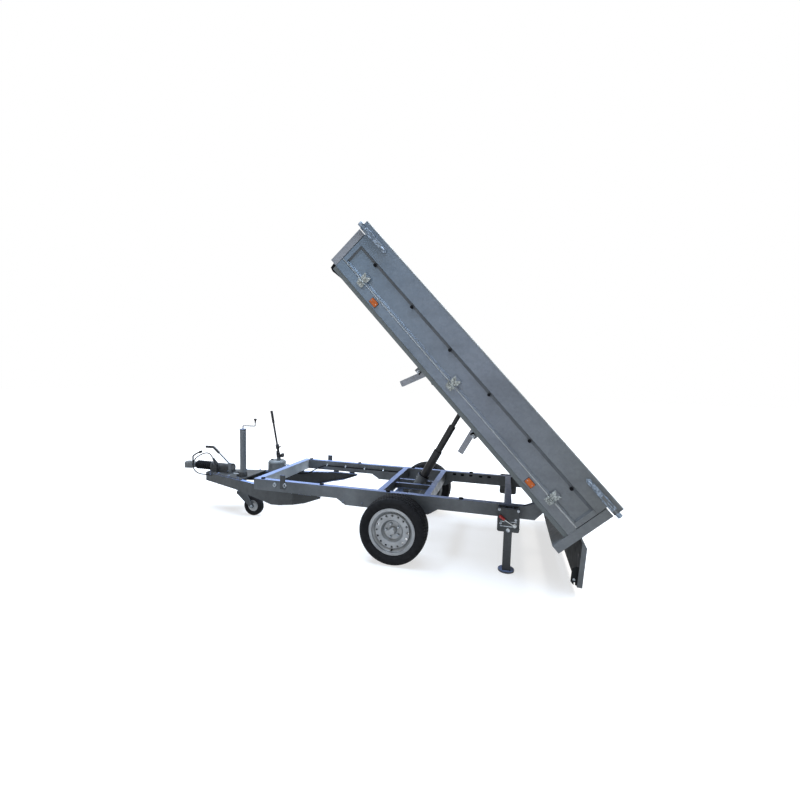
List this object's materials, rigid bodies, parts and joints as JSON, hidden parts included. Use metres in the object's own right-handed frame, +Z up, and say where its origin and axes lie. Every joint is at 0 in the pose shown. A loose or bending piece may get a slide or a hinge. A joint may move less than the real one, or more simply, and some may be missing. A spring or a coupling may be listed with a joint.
{
  "type": "tipper trailer",
  "caption": "Flat tipping trailer on a single axle: raised bed on a telescopic cylinder, dropsides, hanging tailgate, drawbar with coupling, jockey wheel and prop stands.",
  "frame": {"origin": "on the ground below the middle of the whole trailer, bed raised", "axes": "+X forward to the coupling, +Y to the left side, +Z up"},
  "size_m": [4.1097, 1.6, 2.5271],
  "materials": {
    "amber_plastic": "gloss",
    "black_plastic": "matte",
    "black_rubber": "matte",
    "black_steel": "satin",
    "cast_grey": "satin",
    "galvanised_frame": "satin",
    "galvanised_sheet": "satin",
    "grey_plastic": "matte",
    "silver_paint": "satin",
    "tyre_rubber": "matte"
  },
  "bodies": {
    "chassis": {"rail_left": "galvanised_frame", "rail_right": "galvanised_frame", "front_crossmember": "galvanised_frame", "cylinder_crossmembers": "galvanised_frame", "rear_crossmember": "galvanised_frame", "bed_buffers": "black_rubber", "guide_plates": "galvanised_frame", "drawbar_left": "galvanised_frame", "drawbar_right": "galvanised_frame", "bridge_plate": "galvanised_frame", "overrun_housing": "cast_grey", "bellows": "black_rubber", "coupling_head": "cast_grey", "coupling_handle": "galvanised_frame", "handbrake_lever": "galvanised_frame", "lever_grips": "black_plastic", "jockey_tube": "galvanised_frame", "jockey_crank": "galvanised_frame", "crank_knob": "black_plastic", "pump_body": "cast_grey", "pump_lever": "black_steel", "pump_hose": "black_rubber", "axle_plates": "galvanised_frame", "axle_beam": "galvanised_frame", "axle_arms": "galvanised_frame", "stand_plates": "galvanised_frame", "cylinder_cradle": "galvanised_frame", "electric_cable": "black_rubber", "cable_plug": "grey_plastic"},
    "wheel_left": {"tyre_left": "tyre_rubber", "rim_left": "silver_paint", "hub_left": "black_steel"},
    "wheel_right": {"tyre_right": "tyre_rubber", "rim_right": "silver_paint", "hub_right": "black_steel"},
    "jockey_caster": {"jockey_fork": "galvanised_frame"},
    "jockey_wheel": {"jockey_tyre": "tyre_rubber", "jockey_rim": "silver_paint"},
    "stand_left": {"stand_leg_left": "galvanised_frame"},
    "stand_right": {"stand_leg_right": "galvanised_frame"},
    "cylinder": {"cylinder_barrel": "galvanised_frame"},
    "stage_1": {"cylinder_stage_1": "black_steel"},
    "stage_2": {"cylinder_stage_2": "black_steel"},
    "stage_3": {"cylinder_stage_3": "black_steel"},
    "bed": {"bed_floor": "galvanised_sheet", "side_rails": "galvanised_sheet", "rear_frame": "galvanised_frame", "front_frame": "galvanised_frame", "headboard": "galvanised_sheet", "cross_bearers": "galvanised_frame", "stringers": "galvanised_frame", "cylinder_ears": "galvanised_frame", "mudguard_stays": "galvanised_frame", "side_markers": "amber_plastic"},
    "side_left": {"dropside_left": "galvanised_sheet", "side_knobs_left": "black_rubber"},
    "side_right": {"dropside_right": "galvanised_sheet", "side_knobs_right": "black_rubber"},
    "gate": {"tailgate": "galvanised_sheet"}
  },
  "joints": [
    {"name": "wheel_left_spin", "type": "hinge", "parent": "chassis", "child": "wheel_left", "pos_m": [-0.505, 0.641, 0.262], "axis": [0, 1, 0], "continuous": true},
    {"name": "wheel_right_spin", "type": "hinge", "parent": "chassis", "child": "wheel_right", "pos_m": [-0.505, -0.641, 0.262], "axis": [0, 1, 0], "continuous": true},
    {"name": "jockey_swivel", "type": "hinge", "parent": "chassis", "child": "jockey_caster", "pos_m": [1.254, 0.1, 0.3], "axis": [0, 0, 1], "continuous": true},
    {"name": "jockey_wheel_spin", "type": "hinge", "parent": "jockey_caster", "child": "jockey_wheel", "pos_m": [1.13, 0.1, 0.1], "axis": [0, 1, 0], "continuous": true},
    {"name": "bed_tilt", "type": "hinge", "parent": "chassis", "child": "bed", "pos_m": [-1.565, 0, 0.483], "axis": [0, -1, 0], "range_deg": [-47, 0]},
    {"name": "cylinder_swing", "type": "hinge", "parent": "chassis", "child": "cylinder", "pos_m": [-0.551, 0, 0.446], "axis": [0, -1, 0], "range_deg": [-9.51, 0.05]},
    {"name": "stage_1_slide", "type": "slide", "parent": "cylinder", "child": "stage_1", "axis": [-0.464, 0, 0.8858], "range_m": [-0.25839, 0.0002]},
    {"name": "stage_2_slide", "type": "slide", "parent": "stage_1", "child": "stage_2", "axis": [-0.464, 0, 0.8858], "range_m": [-0.25839, 0.0002]},
    {"name": "stage_3_slide", "type": "slide", "parent": "stage_2", "child": "stage_3", "axis": [-0.464, 0, 0.8858], "range_m": [-0.25839, 0.0002]},
    {"name": "side_left_hinge", "type": "hinge", "parent": "bed", "child": "side_left", "pos_m": [-0.9436, 0.789, 1.36931], "axis": [-0.682, 0, -0.7314], "range_deg": [0, 175]},
    {"name": "side_right_hinge", "type": "hinge", "parent": "bed", "child": "side_right", "pos_m": [-0.9436, -0.789, 1.36931], "axis": [0.682, 0, 0.7314], "range_deg": [0, 175]},
    {"name": "tailgate_swing", "type": "hinge", "parent": "bed", "child": "gate", "pos_m": [-1.83608, 0, 0.38438], "axis": [0, -1, 0], "range_deg": [-136.08, 46]},
    {"name": "stand_left_fold", "type": "hinge", "parent": "chassis", "child": "stand_left", "pos_m": [-1.356, 0.517, 0.322], "axis": [0, -1, 0], "range_deg": [0, 90]},
    {"name": "stand_right_fold", "type": "hinge", "parent": "chassis", "child": "stand_right", "pos_m": [-1.356, -0.517, 0.322], "axis": [0, -1, 0], "range_deg": [0, 90]}
  ],
  "couplings": [
    {"joint": "cylinder_swing", "follows": "bed_tilt", "ratio": 0.20128},
    {"joint": "stage_1_slide", "follows": "bed_tilt", "m_per_rad": 0.31474},
    {"joint": "stage_2_slide", "follows": "bed_tilt", "m_per_rad": 0.31474},
    {"joint": "stage_3_slide", "follows": "bed_tilt", "m_per_rad": 0.31474}
  ]
}
